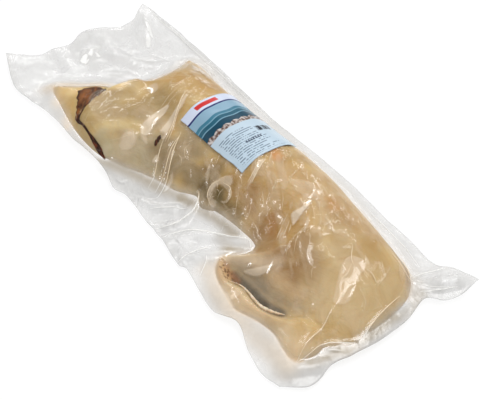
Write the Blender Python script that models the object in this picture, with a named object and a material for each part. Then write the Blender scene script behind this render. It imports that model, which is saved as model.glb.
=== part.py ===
"""A vacuum-packed piece of lutefisk: soft soaked fish, folded at one end, in a clear sealed bag with a paper label.

Sizes are in millimetres, and a mesh is scaled to metres as it is made. The bag lies on its flat underside. +X runs
along it, from the empty film at the far end to the fold of the fish at the near end, +Y runs across it and +Z is up.
The origin is at the middle of the bag's box, on the surface that it lies on.
"""

import bmesh
import bpy
import numpy as np
from mathutils import Vector
from mathutils.bvhtree import BVHTree

MM = 0.001

# ---- The film's edge: (x, y, height), from corner to corner ----------------------------------------------------

FAR_LEFT = (-325, -102, 11)
FAR_RIGHT = (-299, 101, 26)
NEAR_LEFT = (310, -122, 4)
NEAR_RIGHT = (334, 121, 14)
FAR_EDGE = [
    FAR_LEFT, (-299, -68, 8), (-299, -45, 7), (-296, -20, 8), (-304, 5, 14), (-298, 32, 12), (-287, 56, 8),
    (-285, 76, 14), (-295, 93, 22), FAR_RIGHT,
]
NEAR_EDGE = [
    NEAR_LEFT, (328, -98, 4), (323, -67, 5), (327, -42, 5), (329, -8, 5), (326, 28, 5), (317, 62, 7), (331, 78, 8),
    (336, 96, 10), NEAR_RIGHT,
]
LEFT_EDGE = [
    FAR_LEFT, (-261, -122, 6), (-224, -119, 5), (-199, -114, 5), (-157, -111, 5), (-120, -112, 6), (-79, -108, 7),
    (-44, -108, 6), (-15, -114, 6), (5, -107, 5), (48, -110, 4), (83, -111, 4), (124, -116, 4), (135, -112, 4),
    (165, -118, 4), (202, -122, 4), (229, -112, 6), (260, -122, 5), (288, -127, 4), NEAR_LEFT,
]
RIGHT_EDGE = [
    FAR_RIGHT, (-280, 104, 21), (-237, 111, 16), (-194, 113, 13), (-153, 115, 9), (-115, 116, 5), (-75, 115, 4),
    (-6, 111, 4), (69, 112, 5), (136, 113, 5), (188, 111, 3), (212, 108, 4), (245, 108, 4), (287, 103, 6),
    (308, 112, 14), NEAR_RIGHT,
]

FLANGE = 1.2  # the two films of the empty margin
MARGIN_Z = 2.4  # height at which the margin lies between its edge and the fish
EDGE_WAVE_REACH = 38.0  # how far in from the edge a wave of the edge dies out
SEAM_Z = 12.0  # height at which the margin leaves the side of the fish
SEAM_REACH = 17.0  # how far out from the fish the margin comes down

# ---- The fish: outlines seen from above ------------------------------------------------------------------------

BACK = [
    (-157, 2), (-154, 24), (-153, 46), (-157, 67), (-161, 86), (-138, 95), (-90, 91), (-20, 89), (40, 91),
    (90, 95), (135, 95), (178, 90), (220, 84), (256, 78), (286, 69), (308, 44), (316, 0), (313, -36), (302, -60),
    (284, -66), (268, -60), (257, -53), (243, -61), (225, -68), (205, -69), (185, -71), (166, -74), (153, -74),
    (156, -62), (161, -47), (155, -36), (127, -36), (96, -40), (72, -46), (45, -40), (0, -38), (-45, -38),
    (-90, -32), (-130, -16),
]
SHELF = [
    (-168, -36), (-164, -3), (-150, 14), (-100, 20), (0, 8), (78, -20), (88, -39), (74, -52), (56, -46), (34, -60),
    (14, -66), (-15, -77), (-40, -90), (-66, -98), (-95, -103), (-125, -99), (-152, -84), (-168, -62),
]
SLIVER = [
    (-219, -84), (-202, -57), (-176, -25), (-140, -30), (-84, -80), (-60, -96), (-88, -103), (-132, -102),
    (-187, -93),
]
FLAP = [
    (150, -80), (159, -91), (174, -98), (196, -102), (215, -105), (231, -99), (247, -94), (264, -92), (283, -96),
    (299, -94), (306, -72), (292, -50), (270, -52), (260, -60), (255, -69), (244, -78), (231, -83), (220, -84),
    (208, -83), (195, -84), (183, -89), (168, -86), (158, -77),
]
LIP = [(158, -79), (171, -90), (183, -90), (195, -84), (208, -83), (220, -84), (231, -83), (244, -77), (255, -68)]

STATIONS = (-170, -135, -90, -30, 30, 90, 170, 240, 315)  # along the fish, for the rows below
BACK_Z = (30, 38, 50, 59, 59, 58, 53, 47, 37)  # height of the back's crown
BACK_LEFT = (34, 44, 56, 62, 66, 70, 66, 58, 48)  # width over which the back rounds down on the flap's side
BACK_RIGHT = (34, 44, 52, 58, 60, 60, 56, 50, 44)  # and on the other side
BACK_TURN = (-20, 60)  # y from which, and to which, the one changes to the other
LEFT_POWER, RIGHT_POWER = 1.5, 2.7  # the greater, the squarer the shoulder
SHELF_Z = (31, 33, 35, 35, 33, 28, 25, 25, 25)
SHELF_FLANK = (16, 18, 26, 38, 36, 30, 30, 30, 30)
SLIVER_Z, SLIVER_FLANK = 22.0, 26.0
FLAP_Z, FLAP_FLANK, LIP_FLANK = 24.0, 18.0, 6.0
UNDER_FLANK = 16.0  # width of the rounding under the seam
JOIN, SHELF_JOIN, LIP_JOIN = 3.0, 7.0, 5.0  # softness of the valley where two pieces meet

# ---- Pleats of the film: (points along it, height, half width) ------------------------------------------------

PLEATS = [
    ([(18, -99), (40, -90), (60, -66)], 3.5, 9.0),
    ([(62, -112), (75, -78), (58, -44)], 4.5, 9.0),
    ([(86, -112), (106, -74), (152, -40)], 4.5, 9.0),
    ([(118, -116), (127, -97), (136, -74)], 3.5, 8.0),
    ([(-285, 98), (-262, 82), (-240, 60)], 7.0, 18.0),
    ([(-296, 20), (-245, 18), (-200, 34)], 4.0, 16.0),
    ([(-292, -40), (-255, -44), (-225, -60)], 3.0, 14.0),
    ([(304, 74), (318, 92), (330, 116)], 6.0, 11.0),
    ([(325, -58), (316, -84), (300, -112)], 3.0, 9.0),
]

# ---- The label --------------------------------------------------------------------------------------------------

LABEL_LENGTH, LABEL_WIDTH = 118.0, 89.0
LABEL_CORNER = (-32, -8)  # its far left corner, seen from above
LABEL_TURN = 0.034  # radians
LABEL_THICK, LABEL_GAP = 0.4, 0.8

# ---- How finely the surfaces are cut into faces -----------------------------------------------------------------

ROWS, COLUMNS = 84, 38
LABEL_ROWS, LABEL_COLUMNS = 16, 14
LEFT_CROWDING = 0.35  # how much closer the columns lie on the side with the flap


def spline(points, count, closed=False):
    """Points spaced evenly along a Catmull-Rom curve through the given ones."""
    p = np.array(points, float)
    if closed:
        p = np.vstack([p[-1], p, p[0], p[1]])
    else:
        p = np.vstack([2 * p[0] - p[1], p, 2 * p[-1] - p[-2]])
    t = np.linspace(0, 1, 16, endpoint=False)[:, None]
    pieces = [
        0.5 * (2 * b + (c - a) * t + (2 * a - 5 * b + 4 * c - d) * t**2 + (3 * b - a - 3 * c + d) * t**3)
        for a, b, c, d in zip(p, p[1:], p[2:], p[3:])
    ]
    fine = np.vstack([*pieces, p[-2]])
    length = np.concatenate([[0], np.cumsum(np.linalg.norm(np.diff(fine, axis=0), axis=1))])
    return np.column_stack([np.interp(np.linspace(0, length[-1], count), length, axis) for axis in fine.T])


def away(x, y, line):
    """Distance of each point from a line of many short pieces, and how far along the line its nearest point is."""
    a, b = line[:-1, :2], line[1:, :2]
    run = b - a
    px, py = x[..., None] - a[:, 0], y[..., None] - a[:, 1]
    along = np.clip((px * run[:, 0] + py * run[:, 1]) / (run**2).sum(1), 0, 1)
    gap = np.hypot(px - along * run[:, 0], py - along * run[:, 1])
    nearest = gap.argmin(-1)
    share = np.take_along_axis(along, nearest[..., None], -1)[..., 0]
    return gap.min(-1), (nearest + share) / len(a)


def depth(x, y, outline):
    """Distance inside a closed outline, negative outside it."""
    line = spline(outline, 160, closed=True)
    gap, _ = away(x, y, line)
    ax, ay, bx, by = line[:-1, 0], line[:-1, 1], line[1:, 0], line[1:, 1]
    level = (ay > y[..., None]) != (by > y[..., None])
    crossing = ax + (y[..., None] - ay) * (bx - ax) / np.where(by == ay, 1, by - ay)
    inside = (level & (x[..., None] < crossing)).sum(-1) % 2 == 1
    return np.where(inside, gap, -gap)


def dome(share, power=2.0):
    """Rises from 0 at 0 to 1, where it's level, at 1. Below 0 it falls on at the slope that it starts with."""
    return np.where(share < 0, power * share, 1 - np.abs(1 - np.minimum(share, 1)) ** power)


def smooth_step(value, low, high):
    t = np.clip((value - low) / (high - low), 0, 1)
    return t * t * (3 - 2 * t)


def higher(a, b, softness):
    """The larger of two heights, with a soft valley between them."""
    return (a + b + np.sqrt((a - b) ** 2 + softness**2)) / 2


def margin(u, v):
    """Plan position and height of the empty film at each (u, v): u runs from the far to the near end, v across."""
    shape = np.broadcast(u, v).shape
    u, v = np.broadcast_to(u, shape), np.broadcast_to(v, shape)
    sides = [
        (spline(LEFT_EDGE, 400), u, 1 - v, v),
        (spline(RIGHT_EDGE, 400), u, v, 1 - v),
        (spline(FAR_EDGE, 400), v, 1 - u, u),
        (spline(NEAR_EDGE, 400), v, u, 1 - u),
    ]
    lengths = (240, 240, 640, 640)
    place, wave, weight = np.zeros((*shape, 2)), 0, 0
    steps = np.linspace(0, 1, 400)
    for (edge, along, nearness, off), length in zip(sides, lengths):
        at = np.stack([np.interp(along, steps, axis) for axis in edge.T], -1)
        place = place + nearness[..., None] * at[..., :2]
        near = np.exp(-off * length / EDGE_WAVE_REACH)
        wave = wave + near * (at[..., 2] - MARGIN_Z)
        weight = weight + near
    corners = ((FAR_LEFT, (1 - u) * (1 - v)), (NEAR_LEFT, u * (1 - v)), (FAR_RIGHT, (1 - u) * v), (NEAR_RIGHT, u * v))
    for corner, share in corners:
        place = place - share[..., None] * np.array(corner[:2], float)
    return place[..., 0], place[..., 1], MARGIN_Z + wave / np.maximum(1, weight)


def pleats(x, y):
    """How much the pleats raise the film: each a bent ridge that dies out at both ends."""
    rise = np.zeros_like(x)
    for points, height, half_width in PLEATS:
        gap, along = away(x, y, spline(points, 24))
        ridge = np.clip(1 - (gap / half_width) ** 2, 0, 1) ** 2
        rise = np.maximum(rise, height * ridge * np.sin(np.pi * (0.08 + 0.84 * along)))
    return rise


def fish(x, y):
    """Depth inside the fish's whole outline, and the height of its top."""
    in_back, in_shelf, in_sliver, in_flap = (depth(x, y, line) for line in (BACK, SHELF, SLIVER, FLAP))
    rows = (BACK_Z, BACK_LEFT, BACK_RIGHT, SHELF_Z, SHELF_FLANK)
    back_z, left, right, shelf_z, shelf_flank = (np.interp(x, STATIONS, row) for row in rows)
    turn = smooth_step(y, *BACK_TURN)
    power = LEFT_POWER + (RIGHT_POWER - LEFT_POWER) * turn
    back = (back_z - SEAM_Z) * dome(in_back / (left + (right - left) * turn), power)
    shelf = (shelf_z - SEAM_Z) * dome(in_shelf / shelf_flank)
    sliver = (SLIVER_Z - SEAM_Z) * dome(in_sliver / SLIVER_FLANK)
    lip_gap, _ = away(x, y, spline(LIP, 60))
    beside_lip = np.where(in_flap > 0, lip_gap, -lip_gap) / LIP_FLANK
    flap = (FLAP_Z - SEAM_Z) * np.minimum(dome(in_flap / FLAP_FLANK), 0.25 + 0.75 * dome(beside_lip))
    top = higher(back, shelf, SHELF_JOIN)
    top = higher(higher(top, sliver, JOIN), flap, LIP_JOIN)
    inside = np.max([in_back, in_shelf, in_sliver, in_flap], axis=0)
    return inside, SEAM_Z + top.clip(-20)


def bag_surfaces(u, v):
    """Plan position and the two heights, over and under, of the whole bag at each (u, v)."""
    x, y, film = margin(u, v)
    inside, top = fish(x, y)
    seam = np.exp(-((np.minimum(inside, 0) / SEAM_REACH) ** 2))
    middle = film + (SEAM_Z - film) * seam + pleats(x, y) * np.where(inside > 0, 0.4, 1.0)
    over = higher(middle, top, JOIN) + FLANGE / 2
    under = (middle - FLANGE / 2) * (1 - dome(np.maximum(inside, 0) / UNDER_FLANK))
    return x, y, over, np.clip(under, 0, over - FLANGE)


def new_object(name, mesh, colour, roughness, alpha=1.0):
    material = bpy.data.materials.new(name)
    material.use_nodes = True
    shader = material.node_tree.nodes["Principled BSDF"].inputs
    shader["Base Color"].default_value = (*colour, 1)
    shader["Roughness"].default_value = roughness
    shader["Metallic"].default_value = 0.0
    shader["Alpha"].default_value = alpha
    mesh.materials.append(material)
    mesh.shade_smooth()
    made = bpy.data.objects.new(name, mesh)
    parts.objects.link(made)
    return made


def slab_between(name, over, under, rows, columns):
    """A closed mesh between two grids of points: a grid pulled down into a slab, then shaped by the two grids."""
    shape = bmesh.new()
    bmesh.ops.create_grid(shape, x_segments=columns, y_segments=rows, size=1)
    grid = sorted(shape.verts, key=lambda vert: (round(vert.co.y, 6), round(vert.co.x, 6)))
    order = {vert: index for index, vert in enumerate(grid)}
    copy = bmesh.ops.duplicate(shape, geom=list(shape.faces))
    lower = {new: order[old] for old, new in copy["vert_map"].items() if old in order}
    bmesh.ops.reverse_faces(shape, faces=[face for face in copy["geom"] if isinstance(face, bmesh.types.BMFace)])
    rims = [edge for edge in shape.edges if edge.is_boundary]
    bmesh.ops.bridge_loops(shape, edges=rims)
    for vert, index in order.items():
        vert.co = Vector(over[index]) * MM
    for vert, index in lower.items():
        vert.co = Vector(under[index]) * MM
    flat = [vert for vert in lower if all(abs(other.co.z) < 1e-9 for e in vert.link_edges for other in e.verts)]
    bmesh.ops.dissolve_verts(shape, verts=flat)
    bmesh.ops.recalc_face_normals(shape, faces=list(shape.faces))
    bmesh.ops.triangulate(shape, faces=list(shape.faces))
    mesh = bpy.data.meshes.new(name)
    shape.to_mesh(mesh)
    shape.free()
    return mesh


def build_bag():
    u = np.linspace(0, 1, ROWS + 1)[:, None]
    even = np.linspace(0, 1, COLUMNS + 1)[None, :]
    v = even - LEFT_CROWDING * np.sin(np.pi * even) / np.pi * (1 - even)
    x, y, over, under = bag_surfaces(u, v)
    top = np.stack([x, y, over], -1).reshape(-1, 3)
    bottom = np.stack([x, y, under], -1).reshape(-1, 3)
    middle = (top.min(0) + top.max(0)) / 2 * (1, 1, 0)
    mesh = slab_between("bag", top - middle, bottom - middle, ROWS, COLUMNS)
    return new_object("bag", mesh, (0.72, 0.62, 0.44), 0.15), middle


def build_label(bag, middle):
    """Paper laid on the bag: its width is measured along the curve of the bag's top."""
    surface = BVHTree.FromObject(bag, bpy.context.evaluated_depsgraph_get())
    corner = np.array(LABEL_CORNER) - middle[:2]
    along = np.array([np.cos(LABEL_TURN), np.sin(LABEL_TURN)])
    across = np.array([-along[1], along[0]])
    over, under = [], []
    for row in range(LABEL_ROWS + 1):
        start = corner + along * LABEL_LENGTH * row / LABEL_ROWS
        reach = np.linspace(0, LABEL_WIDTH, 200)
        points = start + across * reach[:, None]
        heights = [surface.ray_cast(Vector((*p, 100)) * MM, Vector((0, 0, -1)))[0].z / MM for p in points]
        path = np.column_stack([points, heights])
        length = np.concatenate([[0], np.cumsum(np.linalg.norm(np.diff(path, axis=0), axis=1))])
        for column in range(LABEL_COLUMNS + 1):
            at = [np.interp(LABEL_WIDTH * column / LABEL_COLUMNS, length, axis) for axis in path.T]
            _, normal, _, _ = surface.ray_cast(Vector((at[0], at[1], 100)) * MM, Vector((0, 0, -1)))
            under.append(np.array(at) + np.array(normal) * LABEL_GAP)
            over.append(np.array(at) + np.array(normal) * (LABEL_GAP + LABEL_THICK))
    mesh = slab_between("label", over, under, LABEL_ROWS, LABEL_COLUMNS)
    return new_object("label", mesh, (0.62, 0.75, 0.86), 0.35)


for old in list(bpy.data.objects):
    bpy.data.objects.remove(old)
parts = bpy.data.collections.new("lutefisk_pack")
bpy.context.scene.collection.children.link(parts)
bag_object, box_middle = build_bag()
bpy.context.view_layer.update()
build_label(bag_object, box_middle)
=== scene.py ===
"""Looks of a vacuum-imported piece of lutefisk: pale soaked fish in crumpled clear film, with a paper label.

The film and the fish follow the same outlines and heights as the CAD solid, in millimetres on the bag's own
plan: +X along the bag to the folded end of the fish, +Y across it away from the folded flap, +Z up. on_row()
moves such points into the row frame, in metres.
"""

import math

import bpy
import numpy as np
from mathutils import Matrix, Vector, noise
from mathutils.bvhtree import BVHTree


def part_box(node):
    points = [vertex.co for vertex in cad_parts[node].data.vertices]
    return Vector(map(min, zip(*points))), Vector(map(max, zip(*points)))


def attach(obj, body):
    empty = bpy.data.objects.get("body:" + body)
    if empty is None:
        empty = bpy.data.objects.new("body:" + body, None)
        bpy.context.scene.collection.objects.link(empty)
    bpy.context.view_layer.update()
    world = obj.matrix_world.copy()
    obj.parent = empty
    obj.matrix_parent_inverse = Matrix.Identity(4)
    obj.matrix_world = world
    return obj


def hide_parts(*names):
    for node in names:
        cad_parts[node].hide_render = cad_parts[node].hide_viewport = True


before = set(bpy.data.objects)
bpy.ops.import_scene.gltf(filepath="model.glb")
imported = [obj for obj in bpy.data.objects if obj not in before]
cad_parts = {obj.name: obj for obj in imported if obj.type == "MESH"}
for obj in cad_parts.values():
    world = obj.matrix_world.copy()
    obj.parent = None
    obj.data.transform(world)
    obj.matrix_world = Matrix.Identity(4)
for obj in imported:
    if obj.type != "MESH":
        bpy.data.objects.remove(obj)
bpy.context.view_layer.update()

MM = 0.001

# ---- The bag's edge: (x, y, height) --------------------------------------------------------------

FAR_LEFT, FAR_RIGHT = (-325, -102, 11), (-299, 101, 26)
NEAR_LEFT, NEAR_RIGHT = (310, -122, 4), (334, 121, 14)
FAR_EDGE = [
    FAR_LEFT, (-299, -68, 8), (-299, -45, 7), (-296, -20, 8), (-304, 5, 14), (-298, 32, 12), (-287, 56, 8),
    (-285, 76, 14), (-295, 93, 22), FAR_RIGHT,
]
NEAR_EDGE = [
    NEAR_LEFT, (328, -98, 4), (323, -67, 5), (327, -42, 5), (329, -8, 5), (326, 28, 5), (317, 62, 7),
    (331, 78, 8), (336, 96, 10), NEAR_RIGHT,
]
LEFT_EDGE = [
    FAR_LEFT, (-261, -122, 6), (-224, -119, 5), (-199, -114, 5), (-157, -111, 5), (-120, -112, 6),
    (-79, -108, 7), (-44, -108, 6), (-15, -114, 6), (5, -107, 5), (48, -110, 4), (83, -111, 4),
    (124, -116, 4), (135, -112, 4), (165, -118, 4), (202, -122, 4), (229, -112, 6), (260, -122, 5),
    (288, -127, 4), NEAR_LEFT,
]
RIGHT_EDGE = [
    FAR_RIGHT, (-280, 104, 21), (-237, 111, 16), (-194, 113, 13), (-153, 115, 9), (-115, 116, 5),
    (-75, 115, 4), (-6, 111, 4), (69, 112, 5), (136, 113, 5), (188, 111, 3), (212, 108, 4), (245, 108, 4),
    (287, 103, 6), (308, 112, 14), NEAR_RIGHT,
]
FILM = 1.0  # between the outer faces of the two films where they lie together
MARGIN_Z, EDGE_WAVE_REACH, SEAM_Z, SEAM_REACH = 2.4, 38.0, 12.0, 17.0
ROUGH_LENGTH, ROUGH_WIDTH = 640, 240  # of the bag, to tell how far a point is from its edges

# ---- The fish: outlines seen from above, and rows of heights and flanks along it -----------------

BACK = [
    (-157, 2), (-154, 24), (-153, 46), (-157, 67), (-161, 86), (-138, 95), (-90, 91), (-20, 89), (40, 91),
    (90, 95), (135, 95), (178, 90), (220, 84), (256, 78), (286, 69), (308, 44), (316, 0), (313, -36),
    (302, -60), (284, -66), (268, -60), (257, -53), (243, -61), (225, -68), (205, -69), (185, -71),
    (166, -74), (153, -74), (156, -62), (161, -47), (155, -36), (127, -36), (96, -40), (72, -46), (45, -40),
    (0, -38), (-45, -38), (-90, -32), (-130, -16),
]
SHELF = [
    (-168, -36), (-164, -3), (-150, 14), (-100, 20), (0, 8), (78, -20), (88, -39), (74, -52), (56, -46),
    (34, -60), (14, -66), (-15, -77), (-40, -90), (-66, -98), (-95, -103), (-125, -99), (-152, -84),
    (-168, -62),
]
SLIVER = [
    (-219, -84), (-202, -57), (-176, -25), (-140, -30), (-84, -80), (-60, -96), (-88, -103), (-132, -102),
    (-187, -93),
]
FLAP = [
    (150, -80), (159, -91), (174, -98), (196, -102), (215, -105), (231, -99), (247, -94), (264, -92),
    (283, -96), (299, -94), (306, -72), (292, -50), (270, -52), (260, -60), (255, -69), (244, -78),
    (231, -83), (220, -84), (208, -83), (195, -84), (183, -89), (168, -86), (158, -77),
]
LIP = [
    (158, -79), (171, -90), (183, -90), (195, -84), (208, -83), (220, -84), (231, -83), (244, -77),
    (255, -68),
]
HOLLOW = [
    (150, -80), (152, -68), (170, -64), (205, -60), (240, -54), (262, -46), (270, -60), (256, -76),
    (240, -86), (215, -92), (190, -94), (168, -92),
]
NEAR_FOLD = [
    (286, -96), (303, -94), (303, -78), (304, -62), (313, -47), (318, -34), (315, -18), (300, -26),
    (285, -55), (280, -78),
]

STATIONS = (-170, -135, -90, -30, 30, 90, 170, 240, 315)
BACK_Z = (30, 38, 50, 59, 59, 58, 53, 47, 37)
BACK_LEFT = (34, 44, 56, 62, 66, 70, 66, 58, 48)
BACK_RIGHT = (34, 44, 52, 58, 60, 60, 56, 50, 44)
BACK_TURN = (-20, 60)
LEFT_POWER, RIGHT_POWER = 1.5, 2.7
SHELF_Z = (31, 33, 35, 35, 33, 28, 25, 25, 25)
SHELF_FLANK = (16, 18, 26, 38, 36, 30, 30, 30, 30)
SLIVER_Z, SLIVER_FLANK = 22.0, 26.0
FLAP_Z, FLAP_FLANK, LIP_FLANK = 24.0, 18.0, 4.0
UNDER_FLANK = 16.0
JOIN, SHELF_JOIN, LIP_JOIN = 3.0, 7.0, 3.0

# ---- Pleats and wrinkles of the film: (points, height, half width) -------------------------------

PLEATS = [
    ([(18, -99), (40, -90), (60, -66)], 3.5, 9.0),
    ([(62, -112), (75, -78), (58, -44)], 4.5, 9.0),
    ([(86, -112), (106, -74), (152, -40)], 4.5, 9.0),
    ([(118, -116), (127, -97), (136, -74)], 3.5, 8.0),
    ([(-285, 98), (-262, 82), (-240, 60)], 7.0, 18.0),
    ([(-296, 20), (-245, 18), (-200, 34)], 4.0, 16.0),
    ([(-292, -40), (-255, -44), (-225, -60)], 3.0, 14.0),
    ([(304, 74), (318, 92), (330, 116)], 6.0, 11.0),
    ([(325, -58), (316, -84), (300, -112)], 3.0, 9.0),
]
# Creases: (points, height, half width, half width of the pale strand painted on its crest as a highlight, 0
# for none)
WRINKLES = [
    # long creases over the near part of the shelf
    ([(-66, 23), (-53, 6), (-39, -13), (-18, -40)], 2.4, 5.0, 0),
    ([(-21, -15), (-8, -33), (8, -52), (20, -68), (26, -84)], 2.2, 4.0, 0),
    ([(-19, -20), (-7, -40), (10, -62), (20, -82)], 1.8, 3.6, 0),
    ([(-24, -38), (-8, -56), (4, -70), (10, -83)], 1.6, 3.6, 0.45),
    # the ring pressed into the film
    ([(73, -22), (68, -33), (74, -42), (85, -45)], 1.6, 3.4, 0),
    ([(76, -22), (86, -20), (94, -25), (94, -33)], 1.6, 3.4, 0),
    # sharp folds of the margin beside the hollow
    ([(34, -95), (42, -80), (54, -67), (69, -64)], 2.2, 3.5, 0),
    ([(66, -114), (70, -104), (75, -90), (76, -76), (74, -62), (66, -50), (57, -43)], 2.6, 3.5, 1.1),
    ([(85, -116), (84, -100), (87, -86), (93, -76), (106, -65), (124, -55), (139, -45), (148, -39),
      (160, -45)], 3.0, 3.5, 0.9),
    ([(123, -115), (121, -103), (120, -93), (123, -81), (127, -73)], 2.2, 3.5, 0.7),
    ([(155, -108), (150, -101), (143, -92), (136, -87)], 2.0, 3.5, 0.6),
    ([(-28, -105), (-17, -102), (-12, -90)], 1.8, 3.0, 0),
    # the broad glossy fold across the folded end, and the crease that runs on from it
    ([(254, 10), (258, -4), (268, -20), (282, -34)], 1.0, 4.0, 0),
    ([(268, 14), (276, 4), (284, -12), (286, -28)], 1.0, 4.0, 0),
    ([(282, -34), (290, -52), (297, -81), (302, -95)], 2.4, 3.6, 0.45),
    ([(303, -96), (304, -80), (303, -62), (309, -50), (319, -35)], 2.2, 3.6, 0.45),
    ([(320, -29), (314, -12), (310, 4), (307, 23), (305, 36)], 2.4, 3.6, 0.6),
    # the near right corner
    ([(267, 72), (290, 67), (292, 82), (297, 94), (303, 108)], 2.6, 4.0, 0.6),
    ([(309, 62), (315, 73), (321, 82), (328, 96)], 2.6, 4.0, 0.6),
    ([(308, 108), (324, 98)], 2.4, 4.0, 0),
    # the right flange
    ([(184, 99), (206, 97), (228, 95), (254, 93), (283, 87)], 1.8, 3.4, 0.5),
    ([(-282, 102), (-250, 104), (-216, 107), (-151, 107), (-80, 108)], 1.4, 3.0, 0),
    # the empty far end
    ([(-256, -26), (-270, -12), (-269, -3), (-264, 6), (-252, -7)], 3.0, 6.0, 0),
    ([(-277, 88), (-258, 81), (-246, 78)], 3.0, 6.0, 0),
    ([(-166, 81), (-170, 95)], 2.4, 3.5, 0),
    ([(-212, 60), (-190, 68), (-168, 80)], 2.2, 4.5, 0),
    ([(-230, 30), (-200, 52), (-180, 84)], 2.0, 6.0, 0),
    # folds above the label, and facets below it
    ([(-96, 48), (-70, 53), (-46, 59), (-40, 70)], 1.8, 4.0, 0),
    ([(167, 5), (167, 14), (169, 27), (163, 42), (179, 46)], 2.0, 4.5, 0),
    ([(26, -10), (36, -17), (48, -24)], 1.4, 3.5, 0),
    ([(93, 4), (92, 12), (91, 20)], 1.4, 3.5, 0),
    ([(181, -64), (188, -57)], 1.6, 4.0, 0),
    ([(307, -64), (320, -49)], 1.8, 4.0, 0),
]
# Fields of short wrinkles:
# (count, x from, to, y from, to, direction in degrees, its spread, length, height, half width)
WRINKLE_FIELDS = [
    (90, 84, 240, -30, 84, 144, 30, 20, 1.5, 2.6),
    (40, 190, 312, -60, 70, 130, 60, 22, 1.2, 3.0),
    (40, -150, -40, -95, 60, 115, 30, 22, 1.2, 2.8),
    (34, -160, -40, 30, 92, 150, 40, 18, 1.3, 2.6),
    (36, -40, 150, -60, 0, 135, 25, 20, 1.3, 2.6),
    (16, -290, -170, -105, 100, 20, 80, 40, 0.9, 6.0),
    (14, -60, 150, -112, -60, 75, 30, 30, 0.9, 4.5),
    (12, 150, 320, -122, -92, 70, 40, 26, 0.8, 4.5),
    (14, 312, 330, -90, 60, 10, 30, 14, 0.8, 3.0),
    (30, -150, 300, 88, 112, 80, 35, 16, 0.7, 2.8),
]

FORKED = 0.4  # share of the short wrinkles with a side branch
CREASE_END, PLEAT_END = 0.06, 0.08  # how far up its swell each one starts and stops
PLEAT_OVER_FISH = 0.4  # share of a pleat's height that is left over the fish
LEAST_Z = 0.9  # of the middle between the two films

CHUNK = 6000  # points worked out at a time
EDGE_POINTS, OUTLINE_POINTS = 400, 160  # on each curve through an edge's or an outline's own points
SLACK_REACH = 12.0  # from the fish out to where the film lies free


def distances(path):
    """How far along a path each of its points is."""
    return np.concatenate([[0], np.cumsum(np.linalg.norm(np.diff(path, axis=0), axis=1))])


def points_at(path, wanted):
    """Points at the wanted distances along a path."""
    return np.column_stack([np.interp(wanted, distances(path), axis) for axis in path.T])


def spline(points, count, closed=False):
    """Points spaced evenly along a Catmull-Rom curve through the given ones."""
    p = np.array(points, float)
    if closed:
        p = np.vstack([p[-1], p, p[0], p[1]])
    else:
        p = np.vstack([2 * p[0] - p[1], p, 2 * p[-1] - p[-2]])
    t = np.linspace(0, 1, 16, endpoint=False)[:, None]
    pieces = [
        0.5 * (2 * b + (c - a) * t + (2 * a - 5 * b + 4 * c - d) * t**2 + (3 * b - a - 3 * c + d) * t**3)
        for a, b, c, d in zip(p, p[1:], p[2:], p[3:])
    ]
    fine = np.vstack([*pieces, p[-2]])
    return points_at(fine, np.linspace(0, distances(fine)[-1], count))


def away(x, y, line):
    """Distance of each point from a line of short pieces, and how far along it the nearest place is."""
    a, run = line[:-1, :2], np.diff(line[:, :2], axis=0)
    squares = np.maximum((run**2).sum(1), 1e-9)
    flat_x, flat_y = x.ravel(), y.ravel()
    gaps, places = np.empty(flat_x.size), np.empty(flat_x.size)
    for first in range(0, flat_x.size, CHUNK):
        part = slice(first, first + CHUNK)
        px, py = flat_x[part, None] - a[:, 0], flat_y[part, None] - a[:, 1]
        along = np.clip((px * run[:, 0] + py * run[:, 1]) / squares, 0, 1)
        gap = np.hypot(px - along * run[:, 0], py - along * run[:, 1])
        nearest = gap.argmin(1)
        rows = np.arange(len(gap))
        gaps[part] = gap[rows, nearest]
        places[part] = (nearest + along[rows, nearest]) / len(a)
    return gaps.reshape(x.shape), places.reshape(x.shape)


def depth(x, y, outline):
    """Distance inside a closed outline, negative outside it."""
    line = spline(outline, OUTLINE_POINTS, closed=True)
    gap, _ = away(x, y, line)
    ax, ay, bx, by = line[:-1, 0], line[:-1, 1], line[1:, 0], line[1:, 1]
    slope = (bx - ax) / np.where(by == ay, 1, by - ay)
    flat_x, flat_y = x.ravel(), y.ravel()
    inside = np.empty(flat_x.size, bool)
    for first in range(0, flat_x.size, CHUNK):
        part = slice(first, first + CHUNK)
        px, py = flat_x[part, None], flat_y[part, None]
        level = (ay > py) != (by > py)
        inside[part] = (level & (px < ax + (py - ay) * slope)).sum(1) % 2 == 1
    return np.where(inside.reshape(x.shape), gap, -gap)


def dome(share, power=2.0):
    """Rises from 0 at 0 to 1, where it's level, at 1. Below 0 it falls at the slope that it starts with."""
    return np.where(share < 0, power * share, 1 - np.abs(1 - np.minimum(share, 1)) ** power)


def smooth_step(value, low, high):
    t = np.clip((value - low) / (high - low), 0, 1)
    return t * t * (3 - 2 * t)


def smoothed(values, reach=4):
    """Each value becomes the average of those within reach of it."""
    count = 2 * reach + 1
    return np.convolve(np.pad(values, reach, mode="edge"), np.ones(count) / count, mode="valid")


def higher(a, b, softness):
    """The larger of two heights, with a soft valley between them."""
    return (a + b + np.sqrt((a - b) ** 2 + softness**2)) / 2


def cloudy(x, y, size, seed=0.0):
    """Smooth noise from -1 to 1 over blotches of this size."""
    points = np.stack([x.ravel() / size, y.ravel() / size], -1)
    return np.array([noise.noise(Vector((px, py, seed))) for px, py in points]).reshape(x.shape)


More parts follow.
